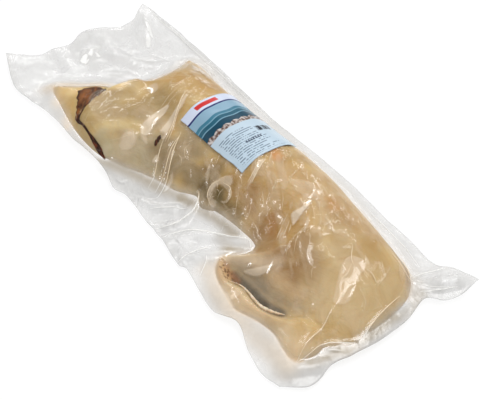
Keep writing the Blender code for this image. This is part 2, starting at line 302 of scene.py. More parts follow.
def margin(u, v):
    """Plan position and height of the empty film: u runs from the far to the near end, v across the bag."""
    shape = np.broadcast(u, v).shape
    u, v = np.broadcast_to(u, shape), np.broadcast_to(v, shape)
    sides = [
        (LEFT_EDGE, u, 1 - v, v, ROUGH_WIDTH),
        (RIGHT_EDGE, u, v, 1 - v, ROUGH_WIDTH),
        (FAR_EDGE, v, 1 - u, u, ROUGH_LENGTH),
        (NEAR_EDGE, v, u, 1 - u, ROUGH_LENGTH),
    ]
    place, wave, weight = np.zeros((*shape, 2)), 0, 0
    steps = np.linspace(0, 1, EDGE_POINTS)
    for points, along, nearness, off, reach in sides:
        edge = spline(points, EDGE_POINTS)
        at = np.stack([np.interp(along, steps, axis) for axis in edge.T], -1)
        place = place + nearness[..., None] * at[..., :2]
        near = np.exp(-off * reach / EDGE_WAVE_REACH)
        wave = wave + near * (at[..., 2] - MARGIN_Z)
        weight = weight + near
    corners = (
        (FAR_LEFT, (1 - u) * (1 - v)), (NEAR_LEFT, u * (1 - v)),
        (FAR_RIGHT, (1 - u) * v), (NEAR_RIGHT, u * v),
    )
    for corner, share in corners:
        place = place - share[..., None] * np.array(corner[:2], float)
    return place[..., 0], place[..., 1], MARGIN_Z + wave / np.maximum(1, weight)


def fish(x, y):
    """Depth inside the fish's whole outline, and the height of its top."""
    in_back, in_shelf, in_sliver, in_flap = (depth(x, y, line) for line in (BACK, SHELF, SLIVER, FLAP))
    rows = (BACK_Z, BACK_LEFT, BACK_RIGHT, SHELF_Z, SHELF_FLANK)
    back_z, left, right, shelf_z, shelf_flank = (np.interp(x, STATIONS, row) for row in rows)
    turn = smooth_step(y, *BACK_TURN)
    power = LEFT_POWER + (RIGHT_POWER - LEFT_POWER) * turn
    back = (back_z - SEAM_Z) * dome(in_back / (left + (right - left) * turn), power)
    shelf = (shelf_z - SEAM_Z) * dome(in_shelf / shelf_flank)
    sliver = (SLIVER_Z - SEAM_Z) * dome(in_sliver / SLIVER_FLANK)
    lip_gap, _ = away(x, y, spline(LIP, 60))
    beside_lip = np.where(in_flap > 0, lip_gap, -lip_gap) / LIP_FLANK
    flap = (FLAP_Z - SEAM_Z) * np.minimum(dome(in_flap / FLAP_FLANK), 0.25 + 0.75 * dome(beside_lip))
    top = higher(back, shelf, SHELF_JOIN)
    top = higher(higher(top, sliver, JOIN), flap, LIP_JOIN)
    inside = np.max([in_back, in_shelf, in_sliver, in_flap], axis=0)
    return inside, SEAM_Z + top.clip(-20)


def flesh(x, y):
    """Depth inside the fish, counting the thin flesh behind its flap and beside it, and its top's height."""
    inside, top = fish(x, y)
    return np.max([inside, depth(x, y, HOLLOW), depth(x, y, NEAR_FOLD)], axis=0), top


def near_line(x, y, points, reach):
    """Which points lie within reach of a line, their distance from it and how far along it they are."""
    line = spline(points, 8 * len(points))
    low, high = line.min(0)[:2] - reach, line.max(0)[:2] + reach
    chosen = (x > low[0]) & (x < high[0]) & (y > low[1]) & (y < high[1])
    gap, along = away(x[chosen], y[chosen], line)
    return chosen, gap, along


def close_to(x, y, points, low, high, uneven=0.0):
    """1 within low of a line and 0 beyond high; an uneven amount moves those borders."""
    close = np.zeros_like(x)
    chosen, gap, _ = near_line(x, y, points, 1.3 * high)
    close[chosen] = 1 - smooth_step(gap + np.broadcast_to(uneven, x.shape)[chosen], low, high)
    return close


def sharp_crest(share):
    """Height of a crease at this share of its half width."""
    return (1 - share) ** 1.4


def round_crest(share):
    return (1 - share**2) ** 2


def raised(x, y, lines, crest, end):
    """Rise of the film at its pleats or creases, lower at both ends. Where two meet, the higher holds."""
    rise = np.zeros_like(x)
    for points, height, half_width, *_ in lines:
        chosen, gap, along = near_line(x, y, points, half_width)
        swell = np.sin(np.pi * (end + (1 - 2 * end) * along))
        rise[chosen] = np.maximum(rise[chosen], height * crest(np.minimum(gap / half_width, 1)) * swell)
    return rise


def bent(start, heading, run, kink):
    """Points along two straight stretches that meet at a sharp bend."""
    first = np.array([math.cos(heading), math.sin(heading)]) * run * 0.5
    second = np.array([math.cos(heading + kink), math.sin(heading + kink)]) * run * 0.5
    corners = [np.array(start) - first, np.array(start), np.array(start) + second]
    between = [tuple(a + (b - a) * t) for a, b in zip(corners, corners[1:]) for t in (0, 0.3, 0.7)]
    return [*between, tuple(corners[-1])]


def short_wrinkles():
    """Every short wrinkle of the fields, as (points, height, half width): bent lines, some of them forked."""
    dice = np.random.default_rng(27)
    made = []
    for count, x0, x1, y0, y1, direction, spread, length, height, half_width in WRINKLE_FIELDS:
        for _ in range(count):
            start = (dice.uniform(x0, x1), dice.uniform(y0, y1))
            heading = math.radians(direction + dice.uniform(-spread, spread))
            run, kink = length * dice.uniform(0.5, 1.5), dice.uniform(-0.7, 0.7)
            rise, half = height * dice.uniform(0.5, 1.5), half_width * dice.uniform(0.8, 1.4)
            made.append((bent(start, heading, run, kink), rise, half))
            fork = heading + dice.choice((-1, 1)) * dice.uniform(0.8, 1.6)
            if dice.random() < FORKED:
                tip = (start[0] + run * 0.3 * math.cos(fork), start[1] + run * 0.3 * math.sin(fork))
                made.append((bent(tip, fork, run * 0.5, kink / 2), rise, half))
    return made


def film_surfaces(u, v):
    """The film at each (u, v): its place on the plan, its heights, over and under, and its creases.

    The last thing told is the depth inside the fish below it.
    """
    x, y, film = margin(u, v)
    inside, top = flesh(x, y)
    seam = np.exp(-((np.minimum(inside, 0) / SEAM_REACH) ** 2))
    crease = raised(x, y, WRINKLES + short_wrinkles(), sharp_crest, CREASE_END)
    pleats = raised(x, y, PLEATS, round_crest, PLEAT_END)
    slack = smooth_step(-inside, 0, SLACK_REACH)  # 1 in the empty margin
    rolling = 1.3 * cloudy(x, y, 26, 3.1) + 0.7 * cloudy(x, y, 12, 8.4)
    middle = film + (SEAM_Z - film) * seam + pleats * np.where(inside > 0, PLEAT_OVER_FISH, 1.0)
    middle = np.maximum(middle + slack * (rolling + 0.8), LEAST_Z)
    over = higher(middle, top, JOIN) + FILM / 2
    over = over + crease * (1 - 0.3 * slack) + 0.5 * (1 - slack) * (rolling + 1)
    under = (middle + 0.6 * crease * slack - FILM / 2) * (1 - dome(np.maximum(inside, 0) / UNDER_FLANK))
    return x, y, over, np.clip(under, 0, over - FILM), crease, inside


# ---- From the plan to the row frame --------------------------------------------------------------

edge_u, edge_v = np.linspace(0, 1, 600)[:, None], np.linspace(0, 1, 120)[None, :]
plan_x, plan_y, _ = margin(edge_u, edge_v)
plan_middle = np.array([(plan_x.min() + plan_x.max()) / 2, (plan_y.min() + plan_y.max()) / 2])
bag_low, bag_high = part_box("bag")
row_middle = np.array([(bag_low.x + bag_high.x) / 2, (bag_low.y + bag_high.y) / 2])


def on_row(points):
    """Points of the plan, in millimetres, as points of the row frame, in metres."""
    moved = np.array(points, float)
    moved[..., :2] = (moved[..., :2] - plan_middle) * MM + row_middle
    moved[..., 2] *= MM
    return moved


# ---- Making meshes -------------------------------------------------------------------------------


def stand(name, data):
    """A new object of the scene for a mesh, curve, light or camera."""
    made = bpy.data.objects.new(name, data)
    bpy.context.scene.collection.objects.link(made)
    return made


def new_piece(name, points, faces, material):
    mesh = bpy.data.meshes.new(name)
    mesh.from_pydata([tuple(p) for p in on_row(points)], [], [tuple(int(i) for i in f) for f in faces])
    mesh.materials.append(material)
    mesh.shade_smooth()
    mesh.update()
    return stand(name, mesh)


def paint(piece, name, values):
    """Stores one number or colour for each point of a piece, for its material to read."""
    values = np.asarray(values, np.float32)
    if values.ndim == 1:
        piece.data.attributes.new(name, "FLOAT", "POINT").data.foreach_set("value", values)
    else:
        full = np.concatenate([values, np.ones((len(values), 1), np.float32)], 1)
        piece.data.attributes.new(name, "FLOAT_COLOR", "POINT").data.foreach_set("color", full.ravel())


def grid_quads(rows, columns, first=0):
    """Faces of a grid of points, seen from above where the rows run along +X and the columns along +Y."""
    i, j = np.meshgrid(np.arange(rows - 1), np.arange(columns - 1), indexing="ij")
    a = first + i * columns + j
    return np.stack([a, a + columns, a + columns + 1, a + 1], -1).reshape(-1, 4)


def around(rows, columns, first=0):
    """The points on a grid's rim, once round."""
    index = first + np.arange(rows * columns).reshape(rows, columns)
    return np.concatenate([index[:-1, 0], index[-1, :-1], index[:0:-1, -1], index[0, :0:-1]])


def slab(name, upper, lower, material):
    """A closed piece between two grids of points of one size, with walls between their rims."""
    rows, columns = upper.shape[:2]
    first = rows * columns
    rim, low_rim = around(rows, columns), around(rows, columns, first)
    walls = zip(low_rim, np.roll(low_rim, -1), np.roll(rim, -1), rim)
    faces = [*grid_quads(rows, columns), *grid_quads(rows, columns, first)[:, ::-1], *walls]
    points = np.concatenate([upper.reshape(-1, 3), lower.reshape(-1, 3)])
    return new_piece(name, points, faces, material)


def linear(colour):
    """A colour given as 0 to 255 the way a screen shows it, as the shader's numbers."""
    c = np.array(colour, float) / 255
    return np.where(c <= 0.04045, c / 12.92, ((c + 0.055) / 1.055) ** 2.4)


def screen(*colour):
    return tuple(linear(colour))


def put(tree, socket, value):
    """Gives an input socket a value, or links it to another node's output."""
    if isinstance(value, bpy.types.NodeSocket):
        tree.links.new(value, socket)
    else:
        socket.default_value = value


def add_node(tree, kind, inputs, **settings):
    made = tree.nodes.new(kind)
    for key, value in settings.items():
        setattr(made, key, value)
    for socket, value in inputs.items():
        put(tree, made.inputs[socket], value)
    return made


# ---- Node materials ------------------------------------------------------------------------------


class Finish:
    """One material, built node by node."""

    def __init__(self, name, **settings):
        self.material = bpy.data.materials.new(name)
        self.material.use_nodes = True
        self.tree = self.material.node_tree
        self.shader = self.tree.nodes["Principled BSDF"]
        for socket, value in settings.items():
            self.set(socket.replace("_", " "), value)

    def set(self, socket, value):
        put(self.tree, self.shader.inputs[socket], value)

    def node(self, kind, inputs=(), **settings):
        return add_node(self.tree, "ShaderNode" + kind, dict(inputs), **settings)

    def calc(self, operation, a, b=0.0, c=0.0):
        return self.node("Math", {0: a, 1: b, 2: c}, operation=operation).outputs[0]

    def span(self, value, low, high, to_low=0.0, to_high=1.0):
        """Stretches low..high to to_low..to_high, and holds the ends."""
        inputs = {"Value": value, "From Min": low, "From Max": high, "To Min": to_low, "To Max": to_high}
        return self.node("MapRange", inputs, clamp=True).outputs["Result"]

    def blend(self, share, a, b, kind="MIX"):
        made = self.node("Mix", {"Factor": share}, data_type="RGBA", blend_type=kind)
        for socket, value in ((made.inputs[6], a), (made.inputs[7], b)):
            put(self.tree, socket, (*value, 1) if isinstance(value, tuple) else value)
        return made.outputs[2]

    def value(self, name):
        return self.node("Attribute", attribute_name=name).outputs["Fac"]

    def colour(self, name):
        return self.node("Attribute", attribute_name=name).outputs["Color"]

    def place(self, stretch=1.0, heading=0.0):
        """Object coordinates, so that a pattern is stretched along a heading on the plan, in degrees."""
        where = self.node("TexCoord").outputs["Object"]
        inputs = {"Vector": where, "Rotation": (0, 0, math.radians(heading)), "Scale": (stretch, 1, 1)}
        return self.node("Mapping", inputs, vector_type="TEXTURE").outputs["Vector"]

    def noise(self, where, scale, detail=3.0, rough=0.5, distortion=0.0):
        inputs = {
            "Vector": where, "Scale": scale, "Detail": detail, "Roughness": rough, "Distortion": distortion,
        }
        return self.node("TexNoise", inputs)

    def grey(self, *shape):
        """Noise as one number from 0 to 1, most of it near the middle."""
        return self.noise(*shape).outputs["Fac"]

    def bump(self, height, strength, distance):
        inputs = {"Height": height, "Strength": strength, "Distance": distance}
        return self.node("Bump", inputs).outputs["Normal"]


def film_finish():
    f = Finish("crumpled_clear_film", Roughness=0.25, IOR=1.6, Metallic=0.0, Coat_IOR=2.8, Coat_Roughness=0.1)
    f.set("Coat Weight", f.value("tight"))
    warp = f.noise(f.place(), 26, 2).outputs["Color"]
    pulled = f.node("VectorMath", {0: warp, 1: (0.5, 0.5, 0.5)}, operation="SUBTRACT").outputs[0]
    pulled = f.node("VectorMath", {0: pulled, "Scale": 0.03}, operation="SCALE").outputs[0]

    def warped(stretch=1.0, heading=0.0):
        return f.node("VectorMath", {0: f.place(stretch, heading), 1: pulled}, operation="ADD").outputs[0]

    def cells(scale, feature="F1"):
        inputs = {"Vector": warped(1.6, 140), "Scale": scale}
        return f.node("TexVoronoi", inputs, feature=feature).outputs["Distance"]

    def net(scale, width, patches, low):
        """Thin raised lines along the borders of cells, in patches."""
        line = f.span(cells(scale, "DISTANCE_TO_EDGE"), 0.0, width, 1.0, 0.0)
        return f.calc("MULTIPLY", line, f.span(f.grey(f.place(), patches, 1), low, low + 0.1))

    crumple = f.value("crumple")
    height = f.calc("MULTIPLY_ADD", cells(130.0), 0.22, cells(44.0))
    height = f.calc("MULTIPLY_ADD", net(40.0, 0.10, 30, 0.46), 0.40, height)
    height = f.calc("MULTIPLY_ADD", net(80.0, 0.14, 42, 0.48), 0.20, height)
    height = f.calc("MULTIPLY", height, f.span(crumple, 0.1, 1.0, 0.05, 1.0))
    height = f.calc("MULTIPLY_ADD", f.grey(warped(3.0, 144), 80, 2), 0.3, height)
    f.set("Normal", f.bump(height, 0.6, 0.004))
    film_grey, film_cream = screen(209, 208, 206), screen(252, 224, 184)
    # painted highlights: crests of creases and facets turn whiter, warmer over the fish
    highlight_grey, highlight_cream = screen(255, 255, 253), screen(255, 236, 208)
    colour = f.blend(f.value("cream"), film_grey, film_cream)
    colour = f.blend(f.value("stain"), colour, screen(174, 162, 142))
    pale = f.blend(f.value("cream"), highlight_grey, highlight_cream)
    f.set("Base Color", f.blend(f.value("crest"), colour, pale))
    cloud = f.grey(f.place(), 45, 3)
    # milky streaks of the crumpled film, and random cells painted milkier still as facets catching the light:
    # painted highlights
    veil = f.span(f.grey(warped(2.6, 146), 75, 3, 0.5), 0.5, 0.64)
    facets = f.node("TexVoronoi", {"Vector": f.place(2.2, 146), "Scale": 64.0}).outputs["Color"]
    lit = f.span(f.node("SeparateColor", {"Color": facets}).outputs["Red"], 0.66, 0.9, 0.0, 0.8)
    veil = f.calc("MAXIMUM", veil, lit)
    haze = f.calc("MULTIPLY", f.value("haze"), f.span(cloud, 0.3, 0.7, 0.85, 1.15))
    haze = f.calc("MULTIPLY_ADD", f.calc("MULTIPLY", veil, crumple), 0.26, haze)
    # crests and facets are painted milkier too: painted highlights
    haze = f.calc("MULTIPLY_ADD", f.value("crest"), 0.62, haze)
    edge_on = f.node("LayerWeight", {"Blend": 0.25}).outputs["Facing"]
    alpha = f.calc("MULTIPLY_ADD", f.calc("POWER", edge_on, 3.0), 0.25, haze)
    f.set("Alpha", f.calc("MAXIMUM", f.calc("MINIMUM", alpha, 0.9), 0.015))
    return f.material


def flesh_finish():
    f = Finish("soaked_flesh", Roughness=0.3, IOR=1.4, Metallic=0.0, Subsurface_Weight=0.25)
    f.set("Subsurface Radius", (0.006, 0.003, 0.0015))
    f.set("Subsurface Scale", 1.0)
    f.set("Specular IOR Level", 0.12)  # it is wet against the film, which carries the gloss
    blotch = f.grey(f.place(), 38, 4, 0.55, 0.8)
    fibre = f.grey(f.place(4.5, 18), 220, 3, 0.6, 0.4)
    base = f.colour("flesh")
    darker = f.blend(1.0, base, (0.88, 0.84, 0.78), "MULTIPLY")
    paler = f.blend(0.18, base, screen(204, 192, 168))
    colour = f.blend(f.span(blotch, 0.35, 0.68), darker, paler)
    colour = f.blend(f.span(fibre, 0.5, 0.8, 0.0, 0.35), colour, darker)
    f.set("Base Color", colour)
    f.set("Normal", f.bump(f.calc("MULTIPLY_ADD", fibre, 0.25, blotch), 0.5, 0.004))
    return f.material


def rim_finish():
    f = Finish("cut_edge_of_flesh", Roughness=0.4, Metallic=0.0, Specular_IOR_Level=0.2)
    f.set("Subsurface Weight", 0.2)
    f.set("Subsurface Radius", (0.004, 0.002, 0.001))
    mottled = f.grey(f.place(), 260, 3)
    colour = f.blend(f.span(mottled, 0.35, 0.7), screen(206, 182, 150), screen(238, 224, 202))
    f.set("Base Color", colour)
    f.set("Normal", f.bump(mottled, 0.5, 0.001))
    return f.material


def dried_finish():
    f = Finish("dried_brown_edge", Roughness=0.45, Metallic=0.0, Specular_IOR_Level=0.1)
    mottled = f.grey(f.place(2.5, 144), 190, 4, 0.65)
    warm = f.blend(f.span(mottled, 0.36, 0.64), screen(50, 22, 6), screen(142, 84, 36))
    dark = f.blend(f.span(mottled, 0.5, 0.7), screen(44, 14, 2), screen(116, 52, 20))
    f.set("Base Color", f.blend(f.value("rim"), warm, dark))
    f.set("Normal", f.bump(mottled, 0.6, 0.002))
    return f.material


def pore_finish():
    f = Finish("brown_pores", Roughness=0.5, Metallic=0.0, Specular_IOR_Level=0.1)
    mottled = f.grey(f.place(), 400, 2)
    f.set("Base Color", f.blend(mottled, screen(84, 50, 22), screen(140, 98, 54)))
    return f.material


LABEL_BANDS = (  # across the picture, each laid over the one before: (where it ends, its edge, colour)
    (0.50, "straight", "shore"),
    (0.455, "scallop", (18, 64, 84)),
    (0.365, "ripple", (110, 152, 172)),
    (0.352, "ripple", (34, 88, 108)),
    (0.305, "ripple", (110, 152, 172)),
    (0.292, "ripple", (60, 116, 138)),
    (0.255, "ripple", (134, 166, 186)),
    (0.14, "straight", (40, 48, 104)),
    (0.118, "straight", (200, 208, 226)),
)


def label_finish():
    """Generic print: a heading with a plain red bar, a stripe, bands of even waves, then rows of grey bars.

    On it, u runs from the heading to the foot and v across, each from 0 to 1.
    """
    f = Finish("printed_label", Roughness=0.32, Metallic=0.0, Specular_IOR_Level=0.2)
    f.set("Coat Weight", 0.1)
    f.set("Coat Roughness", 0.2)
    uv = f.node("UVMap", uv_map="print").outputs["UV"]
    parts = f.node("SeparateXYZ", {"Vector": uv})
    u, v = parts.outputs["X"], parts.outputs["Y"]

    def times(a, b):
        return f.calc("MULTIPLY", a, b)

    def below(value, limit):
        return f.calc("LESS_THAN", value, limit)

    def above(value, limit):
        return f.calc("GREATER_THAN", value, limit)

    def between(value, low, high):
        return times(above(value, low), below(value, high))

    def chance(kind, **inputs):
        return f.node("TexWhiteNoise", inputs, noise_dimensions=kind).outputs["Value"]

    paper, ink = screen(182, 200, 213), screen(66, 80, 102)
    speckle = f.span(f.grey(uv, 26, 3), 0.4, 0.6)
    shore = f.blend(speckle, screen(92, 66, 56), screen(196, 188, 184))
    edges = {
        "straight": 0.0,
        "scallop": times(f.calc("ABSOLUTE", f.calc("SINE", times(v, 22.0))), 0.022),
        "ripple": times(f.calc("SINE", times(v, 19.0)), 0.009),
    }
    colour = paper
    for limit, edge, tint in LABEL_BANDS:
        tint = shore if tint == "shore" else screen(*tint)
        colour = f.blend(below(f.calc("ADD", u, edges[edge]), limit), colour, tint)
    bar = times(between(u, 0.03, 0.085), between(v, 0.24, 0.6))
    colour = f.blend(bar, colour, screen(196, 50, 48))
    # rows of bars where small print would be
    row = times(f.calc("SUBTRACT", u, 0.55), 36.0)
    number = f.calc("FLOOR", row)
    place = f.node("CombineXYZ", {"X": number, "Y": f.calc("FLOOR", times(v, 58.0))}).outputs[0]
    right_end = f.calc("MULTIPLY_ADD", chance("1D", W=number), 0.35, 0.45)
    ragged = times(above(v, 0.08), below(v, right_end))
    rows = times(between(u, 0.56, 0.97), below(f.calc("FRACT", row), 0.36))
    line = times(rows, times(ragged, below(chance("2D", Vector=place), 0.7)))
    colour = f.blend(times(line, 0.8), colour, ink)
    heavy = times(between(v, 0.34, 0.6), below(f.calc("FRACT", times(v, 26.0)), 0.6))
    colour = f.blend(times(between(u, 0.755, 0.785), heavy), colour, screen(52, 62, 84))
    # a bar code of random widths, on plain paper
    colour = f.blend(times(between(u, 0.59, 0.73), between(v, 0.60, 0.93)), colour, paper)
    bars = above(chance("1D", W=f.calc("FLOOR", times(v, 110.0))), 0.45)
    code = times(bars, times(between(u, 0.62, 0.70), between(v, 0.63, 0.90)))
    colour = f.blend(code, colour, screen(44, 48, 58))
    f.set("Base Color", colour)
    fibres = f.grey(f.place(), 900, 2)
    cockle = f.grey(f.place(2.0, 60), 60, 2)
    f.set("Normal", f.bump(f.calc("MULTIPLY_ADD", fibres, 0.04, cockle), 0.4, 0.003))
    return f.material


# ---- The film ------------------------------------------------------------------------------------

FILM_ROWS, FILM_COLUMNS = 421, 161  # points along and across its upper face; the lower has half as many


def crowded(count):
    """Places across the bag from 0 to 1, closer together on the side with the flap."""
    even = np.linspace(0, 1, count)
    return even - 0.2 * np.sin(np.pi * even) / np.pi * (1 - even)


def build_film():
    u, v = np.linspace(0, 1, FILM_ROWS)[:, None], crowded(FILM_COLUMNS)[None, :]
    x, y, over, under, crease, inside = film_surfaces(u, v)
    upper = np.stack([x, y, over], -1)
    lower = np.stack([x, y, under], -1)[::2, ::2]
    rows, columns = lower.shape[:2]
    first = upper.shape[0] * upper.shape[1]
    rim, low_rim = around(FILM_ROWS, FILM_COLUMNS), around(rows, columns, first)
    faces = [*grid_quads(FILM_ROWS, FILM_COLUMNS), *grid_quads(rows, columns, first)[:, ::-1]]
    for i, low in enumerate(low_rim):
        low_next = low_rim[(i + 1) % len(low_rim)]
        a, b, c = rim[2 * i], rim[2 * i + 1], rim[(2 * i + 2) % len(rim)]
        faces += [(low, b, a), (low, low_next, b), (low_next, c, b)]
    points = np.concatenate([upper.reshape(-1, 3), lower.reshape(-1, 3)])
    made = new_piece("film", points, faces, film_finish())
    paint_film(made, x, y, inside, crease)
    return made


# Flat facets between creases, painted pale and milky as the highlights they would catch: (outline, how pale)
FACETS = [
    ([(-60, 21), (-54, 6), (-48, -16), (-37, -36), (-24, -38), (-33, -24), (-41, -10), (-48, 8)], 0.7),
    ([(-64, -4), (-71, -13), (-66, -39), (-51, -53), (-42, -48), (-55, -29)], 0.75),
    ([(-59, -47), (-44, -57), (-31, -56), (-50, -48)], 0.4),
    ([(-12, -55), (-4, -58), (-10, -63)], 0.7),
    ([(18, -54), (26, -59), (28, -72)], 0.5),
    ([(43, -17), (65, -37), (49, -28)], 0.5),
    ([(68, -22), (78, -12), (85, -18), (74, -24)], 0.6),
    ([(168, 3), (171, 14), (170, 27), (174, 22), (178, 8), (181, -5), (174, -2)], 0.8),
    ([(184, 13), (199, -4), (196, -3), (189, 6)], 0.8),
    ([(94, 23), (103, -2), (99, -2), (91, 17)], 0.6),
    ([(135, 30), (150, 44), (171, 38), (172, 31), (161, 25), (144, 23)], 0.3),
    ([(97, 35), (101, 40), (135, 23), (136, 14)], 0.3),
    ([(-256, -26), (-263, -16), (-261, -12), (-249, -22)], 0.9),
    ([(-262, -10), (-267, -3), (-264, -2), (-256, -8)], 0.9),
    ([(-253, -14), (-249, -18), (-246, -24), (-250, -22)], 0.8),
    ([(-260, 0), (-250, 1), (-250, -3)], 0.8),
    ([(-258, 80), (-255, 84), (-238, 79), (-239, 77)], 0.8),
    ([(-244, 72), (-240, 76), (-226, 66), (-230, 63)], 0.7),
    ([(-104, 52), (-92, 60), (-60, 56), (-54, 48), (-78, 50)], 0.3),
    ([(-120, 66), (-112, 74), (-86, 72), (-90, 66)], 0.3),
    ([(202, -102), (200, -86), (203, -82), (210, -90), (208, -100)], 0.35),
    ([(112, 11), (118, 19), (152, 0), (150, -8)], 0.25),
    ([(181, -70), (194, -56), (202, -49), (203, -55), (196, -65)], 0.5),
    ([(-122, 4), (-118, 11), (-105, 6), (-105, -3), (-116, -4)], 0.5),
    ([(-62, -66), (-48, -60), (-40, -72), (-52, -82)], 0.35),
    # the ring, in two crescents
    ([(68, -22), (66, -33), (73, -42), (82, -45), (87, -43), (85, -38), (80, -39), (75, -37),
      (72, -31), (74, -25)], 0.5),
    ([(74, -25), (85, -23), (90, -26), (91, -31), (88, -34), (92, -33), (95, -28), (92, -22),
      (85, -19), (76, -21)], 0.5),
    ([(177, -20), (181, -15), (203, -31), (199, -36)], 0.3),
    ([(281, -32), (270, -22), (257, -4), (251, 6), (251, 16), (262, 22), (270, 16), (274, 4),
      (282, -8), (287, -20)], 0.45),
]

# Places where the film is milkier or clearer, creamier, crumpled, stained or loose: (points, reach, change)
MILKY = [
    ([(-282, 106), (-216, 109), (-151, 110), (-60, 110)], 9, 0.22),
    ([(-325, -102), (-261, -120), (-199, -112)], 12, 0.12),
    ([(-300, 20), (-240, 40), (-200, 60)], 40, 0.05),
    ([(60, -104), (110, -100), (140, -95)], 26, 0.08),
    ([(-20, -95), (30, -88), (60, -80)], 24, 0.10),
    ([(180, -114), (260, -112), (305, -108)], 16, 0.10),
    ([(120, 104), (200, 104), (280, 98)], 12, 0.05),
    ([(290, 90), (320, 100)], 22, 0.08),
    ([(-58, -100), (0, -92), (60, -70)], 18, 0.12),
    ([(318, -70), (326, -30), (324, 20)], 12, 0.16),
    ([(-84, -30), (-62, -26), (-42, -24)], 16, 0.20),
    ([(-154, -32), (-173, -48), (-172, -62), (-150, -82), (-120, -94), (-64, -98)], 14, -0.8),
    ([(-216, -84), (-204, -60), (-186, -34)], 22, 0.22),
    ([(60, -34), (90, -32), (100, -26)], 22, -0.10),
    ([(-34, -36), (-29, -43), (-23, -50)], 8, -0.5),
    ([(-100, -112), (-56, -108), (-15, -92), (14, -80)], 20, 0.34),
    ([(322, -24), (321, 8), (314, 34)], 11, 0.2),
    ([(156, -70), (177, -60), (193, -53), (204, -44)], 13, 0.45),
    ([(-128, 62), (-114, 66), (-98, 76)], 26, 0.3),
    ([(298, 66), (308, 52)], 13, 0.4),
    ([(-56, -66), (-44, -78)], 16, 0.2),
    ([(300, -114), (317, -102), (326, -85)], 16, 0.25),
    ([(-160, 112), (-80, 110), (40, 108)], 10, 0.15),
    ([(152, -56), (150, -72), (160, -94), (200, -106)], 16, 0.30),
    ([(200, -108), (240, -100), (280, -102), (303, -98)], 20, 0.30),
    ([(-222, -90), (-170, -100), (-120, -108)], 16, 0.20),
    ([(-222, -84), (-202, -55), (-172, -20), (-158, 4)], 14, 0.16),
    ([(-157, 20), (-155, 60), (-162, 90)], 20, 0.22),
    ([(-280, 0), (-210, 10), (-190, -30)], 60, 0.08),
]
CREAMY = [
    ([(-226, -92), (-200, -56), (-170, -20)], 22, 0.25),
    ([(-128, 62), (-114, 66), (-98, 76)], 26, -0.5),
    ([(-187, -92), (-176, -80), (-165, -70)], 18, 0.4),
    ([(150, -100), (220, -112), (300, -106)], 20, 0.25),
    ([(322, -24), (321, 8), (314, 34)], 11, -0.8),
    ([(-152, -100), (-138, -108)], 12, 0.35),
]
CRUMPLED = [
    ([(95, 20), (150, 20), (215, 10)], 75, 1.0),
    ([(20, -24), (50, -26), (90, -34)], 40, 0.6),
    ([(-150, 74), (-60, 76)], 40, 0.5),
    ([(-130, -50), (-60, -50)], 56, 0.35),
    ([(205, -18), (220, -14), (236, -26)], 26, -0.5),
    ([(220, -40), (290, -60), (315, -20)], 40, 0.5),
    ([(-154, -32), (-173, -48), (-150, -82), (-64, -98)], 12, -0.6),
    ([(290, 60), (325, 95)], 34, 0.7),
    ([(0, -100), (120, -100)], 34, 0.7),
    ([(-290, 0), (-200, 40)], 60, 0.25),
]

# Stained by brine and skin, beyond the fish's near end and under its lower edge
STAINED = [
    ([(316, 14), (319, -6), (319, -24), (318, -44)], 13, 0.9),
    ([(312, 62), (318, 44), (319, 24)], 12, 0.5),
    ([(317, -46), (314, -66), (310, -84)], 12, 0.8),
    ([(-60, -104), (-20, -86), (20, -72), (44, -62)], 12, 0.7),
    ([(50, -60), (76, -54), (100, -48), (130, -44)], 11, 0.9),
    ([(124, -58), (146, -63)], 14, 0.5),
    ([(142, -62), (156, -48)], 13, 0.4),
    ([(-142, 94), (-120, 95)], 11, 0.5),
]
# Drawn less tight over the fish, so that its gloss is softer
LOOSE = [
    ([(262, 8), (266, -8), (276, -24)], 20, -0.7),
    ([(156, -90), (200, -102), (250, -92), (296, -92)], 16, -0.8),
    ([(300, -60), (314, -20), (312, 20)], 14, -0.6),
    ([(-160, -38), (-146, -60), (-140, -80)], 15, -0.7),
]


def spread(x, y, patches):
    """How far each point lies in soft patches, added up."""
    return sum(change * close_to(x, y, points, 0, reach) for points, reach, change in patches)


# How milky the film is: over the fish, and what the margin, creases, the fish's edge and stains add
HAZE_OVER_FISH, HAZE_MARGIN, HAZE_CREASE, HAZE_BESIDE, HAZE_STAIN = 0.06, 0.26, 0.05, 0.12, 0.3
LOOSEST = 0.04  # the least gloss, in the margin
# how pale the crests of sharp creases are painted, as highlights
CREASE_HIGHLIGHT = 0.35


def paint_film(made, x, y, inside, crease):
    beside = np.exp(-(((inside + 2) / np.where(inside > -2, 5.0, 12.0)) ** 2))
    haze = HAZE_OVER_FISH + HAZE_MARGIN * smooth_step(-inside, -2, 12) + HAZE_BESIDE * beside
    haze = haze + HAZE_CREASE * np.clip(crease / 2.0, 0, 1)
    haze = np.clip(haze + spread(x, y, MILKY), -0.3, 0.85)
    outside = 0.15 * np.exp(-((inside / 12) ** 2)) + 0.35 * smooth_step(inside, -4, 0)
    cream = np.where(inside > 0, smooth_step(inside, -4, 4), outside)
    # crests of sharp creases and the facets are painted pale: painted highlights
    crest = smooth_step(crease, 0.9, 2.2) * CREASE_HIGHLIGHT
    for outline, pale in FACETS:
        chosen, _, _ = near_line(x, y, outline, 4)
        share = pale * smooth_step(depth(x[chosen], y[chosen], outline), -0.7, 0.7)
        crest[chosen] = np.maximum(crest[chosen], share)
    stain = np.clip(spread(x, y, STAINED), 0, 1)
    tight = LOOSEST + (1 - LOOSEST) * smooth_step(inside, -8, 3) + spread(x, y, LOOSE)
    shades = {
        "haze": haze + HAZE_STAIN * stain,
        "cream": np.clip(cream + spread(x, y, CREAMY), 0, 1),
        "crumple": np.clip(0.12 + spread(x, y, CRUMPLED), 0, 1),
        "crest": crest,
        "tight": np.clip(tight, LOOSEST, 1),
        "stain": stain,
    }
    for name, values in shades.items():
        paint(made, name, np.concatenate([values.ravel(), values[::2, ::2].ravel()]))


# ---- The fish ------------------------------------------------------------------------------------

